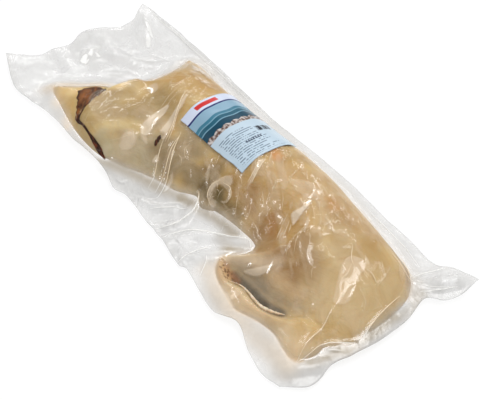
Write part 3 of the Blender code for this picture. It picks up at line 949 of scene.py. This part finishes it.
MESH = 2.2  # spacing of the fish's points
FISH_X, FISH_Y = (-224, 322), (-110, 102)  # the plan that they cover
ROOM = 0.8  # between the fish and the film's outer face
RIM_OVER, RIM_UNDER = 0.2, 0.9  # how far the fish's rim lies below the seam, above and below

# Colours of the flesh as a screen shows them, a few deepened with painted shade: (colour, points, reach,
# strength)
FLESH = (218, 184, 118)
SOAKED = 0.77  # how much darker wet flesh is
PATCHES = [
    ((206, 164, 88), [(-140, 24), (-110, 30), (-80, 44), (-50, 66)], 34, 0.9),
    ((182, 156, 106), [(-150, -40), (-110, -60), (-80, -10)], 52, 0.9),
    ((178, 160, 126), [(-60, -56), (-20, -44), (0, -24)], 44, 0.9),
    # brown flesh of the valley left of the label, darkened further with painted shade
    ((160, 138, 104), [(-16, -40), (6, -60), (10, -30)], 26, 0.8),
    ((255, 224, 160), [(-204, -80), (-180, -52), (-160, -25)], 26, 1.0),
    ((226, 200, 140), [(-88, -76), (-79, -58), (-60, -48)], 18, 0.8),
    ((206, 194, 160), [(-80, -95), (-35, -88), (-5, -70)], 22, 0.8),
    ((204, 190, 160), [(-46, -70), (-26, -66), (-10, -60)], 18, 0.8),
    # the valley's brown flesh with painted shade, on to the ring
    ((150, 128, 90), [(-20, -46), (21, -40), (60, -34)], 26, 0.9),
    ((112, 90, 50), [(60, -36), (90, -36), (110, -30)], 24, 0.9),
    ((148, 120, 78), [(78, -20), (92, -14), (106, -10)], 14, 0.8),
    ((200, 158, 90), [(100, 0), (150, 0), (180, -6)], 38, 0.9),
    ((214, 180, 134), [(110, 30), (150, 36), (190, 30)], 28, 0.7),
    ((158, 118, 64), [(206, -10), (222, -20), (236, -28)], 26, 0.9),
    ((204, 178, 136), [(215, 34), (232, 18), (256, 8)], 34, 0.7),
    ((166, 122, 64), [(150, -28), (190, -40), (236, -40)], 28, 0.9),
    ((200, 164, 112), [(150, 62), (200, 56), (240, 50)], 26, 0.8),
    ((196, 162, 104), [(250, 46), (270, 34), (288, 40)], 28, 0.8),
    ((104, 88, 50), [(79, -28), (84, -35)], 8, 0.9),
    ((224, 196, 146), [(262, -30), (292, -10), (300, 40)], 42, 0.9),
    ((238, 212, 172), [(190, -96), (215, -94), (236, -88)], 18, 0.9),
    ((220, 190, 142), [(250, -84), (274, -82), (292, -78)], 22, 0.9),
    ((250, 226, 186), [(276, -94), (292, -94), (304, -84)], 18, 0.9),
    ((232, 200, 154), [(212, -56), (232, -52), (246, -50)], 14, 0.7),
    ((186, 150, 98), [(93, 45), (110, 62)], 22, 0.6),
    ((178, 134, 74), [(-78, 54), (-50, 60)], 12, 0.5),
    ((188, 150, 96), [(190, 40), (204, 44)], 18, 0.5),
    ((222, 150, 70), [(84, 42), (94, 38)], 11, 0.9),
    ((168, 122, 62), [(110, -6), (122, -16)], 14, 0.7),
    ((186, 132, 70), [(152, -10), (164, -18)], 10, 0.7),
    ((136, 110, 70), [(40, -24), (56, -16)], 18, 0.7),
    ((206, 150, 78), [(180, 48), (190, 44)], 10, 0.7),
]
LINING = [(152, -70), (166, -72), (186, -70), (204, -69), (223, -71), (239, -67), (252, -60)]
# Painted shade of the hollow, darkest along these points right behind the lip
SHADE_BEHIND_LIP = [(178, -82), (208, -79), (230, -78), (246, -72)]  # of the hollow, right behind the lip
TAN_END = [(155, -81), (162, -85), (174, -89)]
RUST_SPOTS = [([(151, -73), (158, -77), (166, -79)], 4), ([(174, -81), (186, -82)], 7)]
# The near-black second colour here is painted shade, for the hollow right behind the lip
LINING_GREY, LIP_SHADE_GREY, TAN, RUST = (134, 122, 108), (36, 32, 32), (222, 174, 116), (146, 82, 30)
# The first colour here is painted shade, for the dark line along the right flank's edge
FLANK_SHADE_BROWN, THIN_FLESH, UNDERSIDE = (150, 100, 58), (214, 200, 172), (172, 150, 112)


def mix(colour, tint, share):
    return colour + (linear(tint) - colour) * np.asarray(share)[..., None]


def flesh_colour(x, y, top, inside):
    """The flesh's colour at each point of the fish's top."""
    colour = np.broadcast_to(linear(FLESH), (*x.shape, 3)).copy()
    uneven = 0.25 * cloudy(x, y, 15, 5.0)
    for tint, points, reach, strength in PATCHES:
        colour = mix(colour, tint, strength * close_to(x, y, points, 0.1 * reach, reach, reach * uneven))
    # the dark lining of the belly, in the hollow behind the lip
    in_back, in_flap = depth(x, y, BACK), depth(x, y, FLAP)
    _, along = away(x, y, spline(LINING, 8 * len(LINING)))
    hollow = close_to(x, y, LINING, 3, 17, 5 * uneven) * (1 - smooth_step(in_flap, -1, 2))
    colour = mix(colour, LINING_GREY, 0.85 * hollow * (0.45 + 0.55 * np.sin(np.pi * along)))
    # painted shade, deepest in the hollow right behind the lip
    lip_shade = close_to(x, y, SHADE_BEHIND_LIP, 2, 10) * (1 - smooth_step(in_flap, -2, 1))
    colour = mix(colour, LIP_SHADE_GREY, 0.95 * lip_shade)
    # the porous end of the flap
    colour = mix(colour, TAN, 0.9 * close_to(x, y, TAN_END, 6, 10, 4 * uneven))
    for points, reach in RUST_SPOTS:
        colour = mix(colour, RUST, 0.8 * close_to(x, y, points, 0, reach))
    # painted shade: a dark line just inside the right flank's edge, where it turns away
    flank_shade = smooth_step(y, 46, 60) * (1 - smooth_step(np.abs(in_back - 3.0), 1.5, 4.5))
    colour = mix(colour, FLANK_SHADE_BROWN, 0.8 * flank_shade)
    # thin flesh at the seam is paler
    return SOAKED * mix(colour, THIN_FLESH, 0.45 * (1 - smooth_step(inside, 0, 9)))


def build_fish():
    x, y = np.meshgrid(np.arange(*FISH_X, MESH), np.arange(*FISH_Y, MESH), indexing="ij")
    inside, _ = flesh(x, y)
    # the points just outside move onto the outline, and squares wholly outside go
    slope_x, slope_y = np.gradient(inside, MESH)
    outer = inside <= 0
    steep = np.maximum(np.hypot(slope_x, slope_y), 0.3)
    x = np.where(outer, x - inside * slope_x / steep**2, x)
    y = np.where(outer, y - inside * slope_y / steep**2, y)
    kept = ~(outer[:-1, :-1] & outer[1:, :-1] & outer[:-1, 1:] & outer[1:, 1:])
    inside, top = flesh(x, y)
    inside = np.maximum(inside, 0)
    meat = 0.5 * cloudy(x, y, 14, 1.7) + 0.25 * cloudy(x, y, 6, 4.2)
    over = np.maximum(top - ROOM + meat, SEAM_Z - 0.1 + 0.03 * inside)
    over = np.where(outer, SEAM_Z - RIM_OVER, over)
    under = (SEAM_Z - RIM_UNDER) * (1 - dome(inside / UNDER_FLANK)) + 0.4 * smooth_step(inside, 0, 16)
    under = np.where(outer, SEAM_Z - RIM_UNDER, under)
    rows, columns = x.shape
    quads = grid_quads(rows, columns)[kept.ravel()]
    used, quads = np.unique(quads, return_inverse=True)
    quads = quads.reshape(-1, 4)
    upper = np.stack([x, y, over], -1).reshape(-1, 3)[used]
    lower = np.stack([x, y, under], -1).reshape(-1, 3)[used]
    sides = np.concatenate([quads[:, [i, (i + 1) % 4]] for i in range(4)])
    known = {tuple(side) for side in sides.tolist()}
    rim = [side for side in sides.tolist() if (side[1], side[0]) not in known]
    walls = [(b, a, a + len(used), b + len(used)) for a, b in rim]
    faces = [*quads, *(quads[:, ::-1] + len(used)), *walls]
    made = new_piece("fish", np.concatenate([upper, lower]), faces, flesh_finish())
    colour = flesh_colour(x, y, top, inside).reshape(-1, 3)[used]
    below = mix(colour, UNDERSIDE, np.full(len(colour), 0.8))
    paint(made, "flesh", np.concatenate([colour, below]))
    return made


# ---- Thin pieces that follow the fish ------------------------------------------------------------

DRIED_PATH = [
    (-179, -40), (-172, -49), (-165, -58), (-157, -68), (-149, -78), (-144, -86), (-137, -93), (-118, -95),
    (-98, -97), (-80, -98), (-61, -99),
]
DRIED_DEPTH = 0.8  # how far its underside is sunk into the flesh
DRIED_HALF_WIDTHS = (2.0, 18.5, 17.5, 12.5, 8.0, 2.6, 0.9, 0.9, 0.9, 1.9, 2.6, 0.6)


def build_dried_edge():
    """A strip that hugs the fish, wide at the far end and thin where it turns under the shelf."""
    count, across = 150, 21
    line = spline(DRIED_PATH, count)
    run = np.gradient(line, axis=0)
    side = np.column_stack([-run[:, 1], run[:, 0]]) / np.linalg.norm(run, axis=1)[:, None]
    along = np.linspace(0, 1, count)
    half = np.interp(along, np.linspace(0, 1, len(DRIED_HALF_WIDTHS)), DRIED_HALF_WIDTHS)
    half = smoothed(half)  # no corners in its outline
    half = half * (1 + 0.25 * np.array([noise.noise(Vector((i * 0.17, 0, 2))) for i in range(count)]))
    share = np.linspace(-1, 1, across)
    x = line[:, :1] + side[:, :1] * half[:, None] * share
    y = line[:, 1:] + side[:, 1:] * half[:, None] * share
    _, top = fish(x, y)
    top = np.maximum(top, SEAM_Z) - ROOM
    rise = 0.4 + 0.5 * np.abs(share) ** 3 + 0.2 * cloudy(x, y, 5, 9.0)
    upper, lower = (np.stack([x, y, z], -1) for z in (top + rise, top - DRIED_DEPTH))
    made = slab("dried_edge", upper, lower, dried_finish())
    along = along[:, None]
    dark = smooth_step(share, 0.2, 1.0) + smooth_step(-share, 0.8, 1.0)
    dark = dark + smooth_step(share, 0.0, 0.5) * smooth_step(-along, -0.28, -0.14)  # the tip
    dark = np.clip(dark + smooth_step(along, 0.38, 0.48), 0, 1).ravel()  # the thin end
    paint(made, "rim", np.concatenate([dark, dark]))
    return made


def new_tree(name, inputs):
    """A Geometry Nodes tree with named inputs, each given by its kind of socket, and what they hand on."""
    tree = bpy.data.node_groups.new(name, "GeometryNodeTree")
    tree.interface.new_socket("Geometry", in_out="INPUT", socket_type="NodeSocketGeometry")
    for label, kind in inputs.items():
        tree.interface.new_socket(label, in_out="INPUT", socket_type="NodeSocket" + kind)
    tree.interface.new_socket("Geometry", in_out="OUTPUT", socket_type="NodeSocketGeometry")
    return tree, tree.nodes.new("NodeGroupInput").outputs


def close_tree(tree, geometry, finish):
    """Ends a tree in a plain mesh with its material."""
    plain = add_node(tree, "GeometryNodeRealizeInstances", {"Geometry": geometry})
    inputs = {"Geometry": plain.outputs["Geometry"], "Material": finish}
    coat = add_node(tree, "GeometryNodeSetMaterial", inputs)
    add_node(tree, "NodeGroupOutput", {"Geometry": coat.outputs["Geometry"]})


def grown(name, source, tree, values):
    """What a tree makes of the source object, as a plain mesh; the source goes."""
    modifier = source.modifiers.new(name, "NODES")
    modifier.node_group = tree
    for item in tree.interface.items_tree:
        if item.in_out == "INPUT" and item.name in values:
            modifier[item.identifier] = values[item.name]
    bpy.context.view_layer.update()
    found = source.evaluated_get(bpy.context.evaluated_depsgraph_get())
    mesh = bpy.data.meshes.new_from_object(found)
    mesh.name = name
    mesh.shade_smooth()
    bpy.data.objects.remove(source)
    return stand(name, mesh)


def sweep_tree():
    """Draws a round strand of flesh or film along each curve, as thick as the curve's own radius says."""
    inputs = {"Thickness": "Float", "Flatness": "Vector", "Sides": "Int", "Finish": "Material"}
    tree, given = new_tree("strand", inputs)
    inputs = {"Resolution": given["Sides"], "Radius": given["Thickness"]}
    ring = add_node(tree, "GeometryNodeCurvePrimitiveCircle", inputs)
    inputs = {"Geometry": ring.outputs["Curve"], "Scale": given["Flatness"]}
    flat = add_node(tree, "GeometryNodeTransform", inputs)
    upright = add_node(tree, "GeometryNodeSetCurveNormal", {"Curve": given["Geometry"]}, mode="Z_UP")
    radius = add_node(tree, "GeometryNodeInputRadius", {})
    inputs = {
        "Curve": upright.outputs["Curve"], "Profile Curve": flat.outputs["Geometry"],
        "Scale": radius.outputs[0], "Fill Caps": True,
    }
    sweep = add_node(tree, "GeometryNodeCurveToMesh", inputs)
    close_tree(tree, sweep.outputs["Mesh"], given["Finish"])
    return tree


def swept(name, strands, finish, thickness, flatness=1.0, sides=8):
    """One piece from many strands, each (points of the plan, radii as shares of the thickness, in metres)."""
    curve = bpy.data.curves.new(name, "CURVE")
    curve.dimensions = "3D"
    for places, radii in strands:
        strand = curve.splines.new("POLY")
        strand.points.add(len(places) - 1)
        for point, place, radius in zip(strand.points, on_row(places), radii):
            point.co = (*place, 1)
            point.radius = radius
    values = {"Thickness": thickness, "Flatness": (1, flatness, 1), "Sides": sides, "Finish": finish}
    return grown(name, stand(name, curve), sweep_tree(), values)


FLECK_PATH = [(-34, -36), (-30, -41), (-27, -46), (-23, -50)]


def build_brown_fleck():
    """A scrap of dried skin, caught under the film beside a crease."""
    line = spline(FLECK_PATH, 26)
    _, top = fish(line[:, 0], line[:, 1])
    dice = np.random.default_rng(9)
    radii = np.sin(np.pi * np.linspace(0.08, 0.96, len(line))) ** 0.7 * dice.uniform(0.75, 1.25, len(line))
    places = np.column_stack([line, top - 0.2])
    made = swept("brown_fleck", [(places, radii)], dried_finish(), thickness=0.0023, flatness=0.3, sides=12)
    paint(made, "rim", np.ones(len(made.data.vertices)))
    return made


def build_cut_rim():
    """The cut edge of the folded flap: a soft strand of flesh along the lip."""
    line = spline(LIP[2:], 60)[:57]
    _, top = fish(line[:, 0], line[:, 1])
    dice = np.random.default_rng(5)
    share = np.linspace(0, 1, len(line))
    radii = (0.15 + 1.4 * np.sin(np.pi * share**1.8) ** 0.7) * dice.uniform(0.8, 1.2, len(line))
    places = np.column_stack([line, np.maximum(top, SEAM_Z + 4) - ROOM + 0.3])
    return swept("cut_rim", [(places, radii)], rim_finish(), thickness=0.0011, sides=10)


# Sharp folds of the film, drawn as fine pale strands that are painted highlights, besides those on the
# creases: (points, half width)
FOLD_LINES = [
    ([(-66, 24), (-56, 9), (-40, -12), (-20, -38)], 0.6),
    ([(-50, 5), (-38, -12), (-18, -36)], 0.4),
    ([(-21, -15), (-8, -31), (8, -49), (20, -64), (28, -81), (22, -90)], 0.6),
    ([(-19, -17), (-7, -37), (10, -59), (21, -80)], 0.55),
    ([(70, -23), (67, -33), (73, -42), (83, -45)], 0.35),
    ([(76, -22), (86, -20), (94, -25), (94, -32)], 0.35),
    ([(94, 23), (98, 11), (103, -2)], 0.7),
    ([(91, 19), (95, 8), (99, -5)], 0.5),
    ([(268, 16), (276, 20), (288, 18)], 0.4),
    ([(240, 26), (252, 14), (260, 10)], 0.4),
    ([(38, -97), (46, -85), (55, -73), (66, -64)], 0.9),
    ([(262, 60), (290, 62), (312, 76), (326, 92)], 0.5),
    ([(-282, 100), (-250, 103), (-216, 106), (-151, 108), (-80, 109), (0, 106)], 0.4),
]
# Short wrinkles that get such a painted-highlight strand too: how high, what share of those, and half width
# as a share of height
SHARP_HEIGHT, SHARP_SHARE, SHARP_WIDTH = 1.3, 0.7, 0.09


# Near-white and partly see-through: the fold strands are painted highlights
def fold_finish():
    f = Finish("painted_highlights_on_folds", Roughness=0.3, IOR=1.6, Metallic=0.0, Alpha=0.66)
    f.set("Base Color", f.blend(f.value("cream"), screen(255, 254, 250), screen(246, 226, 192)))
    return f.material


def film_top(surface, x, y):
    """Height of the film over a point of the plan, or None beyond its edge."""
    found = surface.ray_cast(Vector(on_row([x, y, 100.0])), Vector((0, 0, -1)))[0]
    return None if found is None else found.z / MM


# Pale strands along the sharp folds, on the film's top: painted highlights
def build_fold_lines(surface):
    dice = np.random.default_rng(11)
    lines = [(points, half, 2.0) for points, half in FOLD_LINES]
    lines += [(points, half, 2.0) for points, _, _, half in WRINKLES if half]
    for points, height, _ in short_wrinkles():
        if height > SHARP_HEIGHT and dice.random() < SHARP_SHARE:
            lines.append((points, SHARP_WIDTH * height, 2.5))
    strands = []
    for points, half, step in lines:
        line = spline(points, max(5, int(distances(points)[-1] / step)))
        tops = [film_top(surface, x, y) for x, y in line]
        kept = [(x, y, top + 0.05) for (x, y), top in zip(line, tops) if top is not None]
        if len(kept) > 4:
            taper = np.sin(np.pi * np.linspace(0.03, 0.97, len(kept))) ** 0.6
            strands.append((np.array(kept), half * taper))
    made = swept("film_folds", strands, fold_finish(), thickness=MM, flatness=0.35)
    places = np.array([vertex.co[:2] for vertex in made.data.vertices])
    places = (places - row_middle) / MM + plan_middle
    inside, _ = fish(places[:, 0], places[:, 1])
    paint(made, "cream", smooth_step(inside, -4, 4))
    return made


def pore_tree():
    """Scatters squashed balls of many sizes over a surface."""
    inputs = {"Density": "Float", "Spacing": "Float", "Size": "Float", "Seed": "Int", "Finish": "Material"}
    tree, given = new_tree("pores", inputs)
    inputs = {
        "Mesh": given["Geometry"], "Distance Min": given["Spacing"], "Density Max": given["Density"],
        "Seed": given["Seed"],
    }
    scatter = add_node(tree, "GeometryNodeDistributePointsOnFaces", inputs, distribute_method="POISSON")
    ball = add_node(tree, "GeometryNodeMeshIcoSphere", {"Subdivisions": 2, "Radius": given["Size"]})
    inputs = {"Min": (0.35, 0.35, 0.15), "Max": (1.2, 0.9, 0.3), "Seed": given["Seed"]}
    size = add_node(tree, "FunctionNodeRandomValue", inputs, data_type="FLOAT_VECTOR")
    inputs = {
        "Points": scatter.outputs["Points"], "Rotation": scatter.outputs["Rotation"],
        "Instance": ball.outputs["Mesh"], "Scale": size.outputs["Value"],
    }
    copies = add_node(tree, "GeometryNodeInstanceOnPoints", inputs)
    close_tree(tree, copies.outputs["Instances"], given["Finish"])
    return tree


PORE_CORNER, PORE_SIZE = (152, -86), (32, 10)  # of the patch that the pores are scattered on
PORE_PATCH = (16, 9)  # its points along and across


def build_pores():
    """Small dark pits and specks over the dry tan end of the flap, scattered on a patch of the fish's top."""
    along, across = np.meshgrid(*(np.linspace(0, 1, count) for count in PORE_PATCH), indexing="ij")
    x = PORE_CORNER[0] + PORE_SIZE[0] * along
    y = PORE_CORNER[1] + PORE_SIZE[1] * across - 6 * along
    _, top = fish(x, y)
    points = np.stack([x, y, np.maximum(top - 0.3, SEAM_Z + 0.5)], -1).reshape(-1, 3)
    finish = pore_finish()
    patch = new_piece("pore_patch", points, grid_quads(*PORE_PATCH), finish)
    values = {"Density": 110000.0, "Spacing": 0.0013, "Size": 0.0014, "Seed": 4, "Finish": finish}
    return grown("pores", patch, pore_tree(), values)


# ---- The label -----------------------------------------------------------------------------------

LABEL_LENGTH, LABEL_WIDTH, LABEL_CORNER, LABEL_TURN = 119.0, 88.0, (-32, -8), 0.034
LABEL_THICK, LABEL_GAP = 0.3, 0.25
LABEL_ROWS, LABEL_COLUMNS = 73, 55
LABEL_DIP = 0.6  # how far the paper may sink below a crest of the film


def build_label(surface):
    along = np.array([math.cos(LABEL_TURN), math.sin(LABEL_TURN)])
    across = np.array([-along[1], along[0]])
    reach = np.linspace(0, LABEL_WIDTH, 160)
    rows, columns = np.linspace(0, 1, LABEL_ROWS), np.linspace(0, 1, LABEL_COLUMNS)
    places = []
    for row in rows:
        line = np.array(LABEL_CORNER) + along * LABEL_LENGTH * row + across * reach[:, None]
        heights = np.array([film_top(surface, x, y) for x, y in line])
        path = np.column_stack([line, np.maximum(smoothed(heights), heights - LABEL_DIP)])
        places.append(points_at(path, LABEL_WIDTH * columns))
    places = np.array(places)
    for _ in range(2):
        z = np.pad(places[..., 2], 1, mode="edge")
        soft = (z[:-2, 1:-1] + z[2:, 1:-1] + z[1:-1, :-2] + z[1:-1, 2:]) / 4
        places[..., 2] = np.maximum(places[..., 2] - 0.15, soft)
    normal = np.cross(np.gradient(places, axis=0), np.gradient(places, axis=1))
    normal /= np.linalg.norm(normal, axis=-1)[..., None]
    upper, lower = places + normal * (LABEL_GAP + LABEL_THICK), places + normal * LABEL_GAP
    made = slab("paper_label", upper, lower, label_finish())
    on_print = np.stack(np.meshgrid(rows, columns, indexing="ij"), -1).reshape(-1, 2)
    both_faces = np.concatenate([on_print, on_print]).astype(np.float32)
    corners = np.empty(len(made.data.loops), np.int32)
    made.data.loops.foreach_get("vertex_index", corners)
    made.data.uv_layers.new(name="print").data.foreach_set("uv", both_faces[corners].ravel())
    return made


# ---- Everything, in place ------------------------------------------------------------------------

film = build_film()
film_surface = BVHTree.FromObject(film, bpy.context.evaluated_depsgraph_get())
fish_piece = build_fish()
dried_edge = build_dried_edge()
brown_fleck = build_brown_fleck()
cut_rim = build_cut_rim()
film_folds = build_fold_lines(film_surface)
pores = build_pores()
paper_label = build_label(film_surface)

for piece in (film, film_folds, fish_piece, dried_edge, brown_fleck, cut_rim, pores, paper_label):
    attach(piece, "root")
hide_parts("bag")
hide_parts("label")

# ---- Floor, lights and camera --------------------------------------------------------------------

FLOOR_REACH, FLOOR_Z = 6.0, -0.0006
LIGHTS = [  # name, place, the point it faces, size, watts
    ("key", (0.35, 0.3, 1.5), (0.05, 0, 0), (1.2, 0.9), 18),
    ("far_strip", (-1.3, 0.55, 0.75), (0, 0, 0), (0.9, 0.14), 3.2),
    ("back_strip", (-0.75, 1.3, 1.15), (0, 0, 0), (0.8, 0.14), 2.6),
    ("left_strip", (-1.0, -1.2, 0.75), (0, 0, 0), (0.8, 0.12), 2.6),
]
CAMERA_PLACE, CAMERA_TARGET = (0.6727, -0.4285, 0.7354), (0.0777, 0.0037, 0.0)
CAMERA_LENS, CAMERA_SENSOR = 66.5, 36.0


def build_floor():
    f = Finish("pale_floor", Roughness=0.9, Metallic=0.0, Specular_IOR_Level=0.0, Emission_Strength=0.84)
    f.set("Base Color", (0.18, 0.18, 0.18, 1))
    f.set("Emission Color", (1, 1, 1, 1))
    mesh = bpy.data.meshes.new("floor")
    corners = ((-1, -1), (1, -1), (1, 1), (-1, 1))
    mesh.from_pydata([(a * FLOOR_REACH, b * FLOOR_REACH, FLOOR_Z) for a, b in corners], [], [(0, 1, 2, 3)])
    mesh.materials.append(f.material)
    made = stand("floor", mesh)


def aim(made, place, target):
    made.location = place
    made.rotation_euler = (Vector(target) - Vector(place)).to_track_quat("-Z", "Y").to_euler()


def build_lights():
    for name, place, target, size, watts in LIGHTS:
        data = bpy.data.lights.new(name, "AREA")
        data.shape = "RECTANGLE"
        data.size, data.size_y = size
        data.energy = watts
        aim(stand(name, data), place, target)


def build_camera():
    data = bpy.data.cameras.new("camera")
    data.lens, data.sensor_width = CAMERA_LENS, CAMERA_SENSOR
    made = stand("camera", data)
    aim(made, CAMERA_PLACE, CAMERA_TARGET)
    bpy.context.scene.camera = made


build_floor()
build_lights()
build_camera()

world = bpy.data.worlds.new("studio")
world.use_nodes = True
sky = world.node_tree.nodes["Background"]
sky.inputs["Color"].default_value = (1, 1, 1, 1)
sky.inputs["Strength"].default_value = 0.45
bpy.context.scene.world = world
bpy.context.scene.view_settings.view_transform = "Standard"
